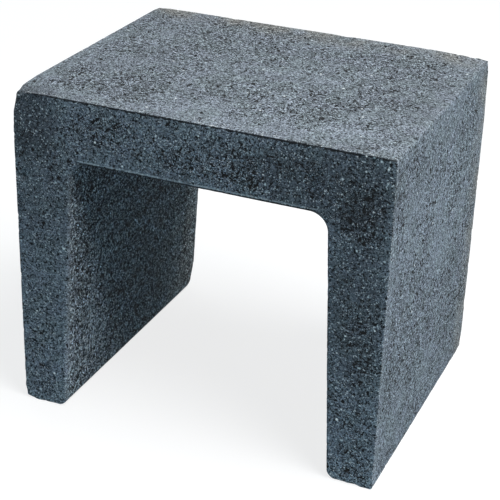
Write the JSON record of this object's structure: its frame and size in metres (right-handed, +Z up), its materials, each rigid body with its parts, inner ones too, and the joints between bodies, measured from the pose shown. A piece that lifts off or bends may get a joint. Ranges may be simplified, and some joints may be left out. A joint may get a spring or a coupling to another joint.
{
  "type": "concrete u-block",
  "caption": "Upside-down U of cast anthracite concrete: a flat seat-like top slab on plain legs that thin towards the ground, for edging, steps, walls and seats.",
  "frame": {"origin": "on the ground, midway between the two feet and midway along the block", "axes": "+X across the legs, along the width; +Y along the block, from the front end to the back end; +Z up, out of the top face"},
  "size_m": [0.5, 0.4, 0.445],
  "materials": {
    "concrete": "dry-cast anthracite concrete, matt, open-pored, with fine dark pits and pale grains"
  },
  "bodies": {
    "root": {"block": "concrete"}
  },
  "joints": []
}
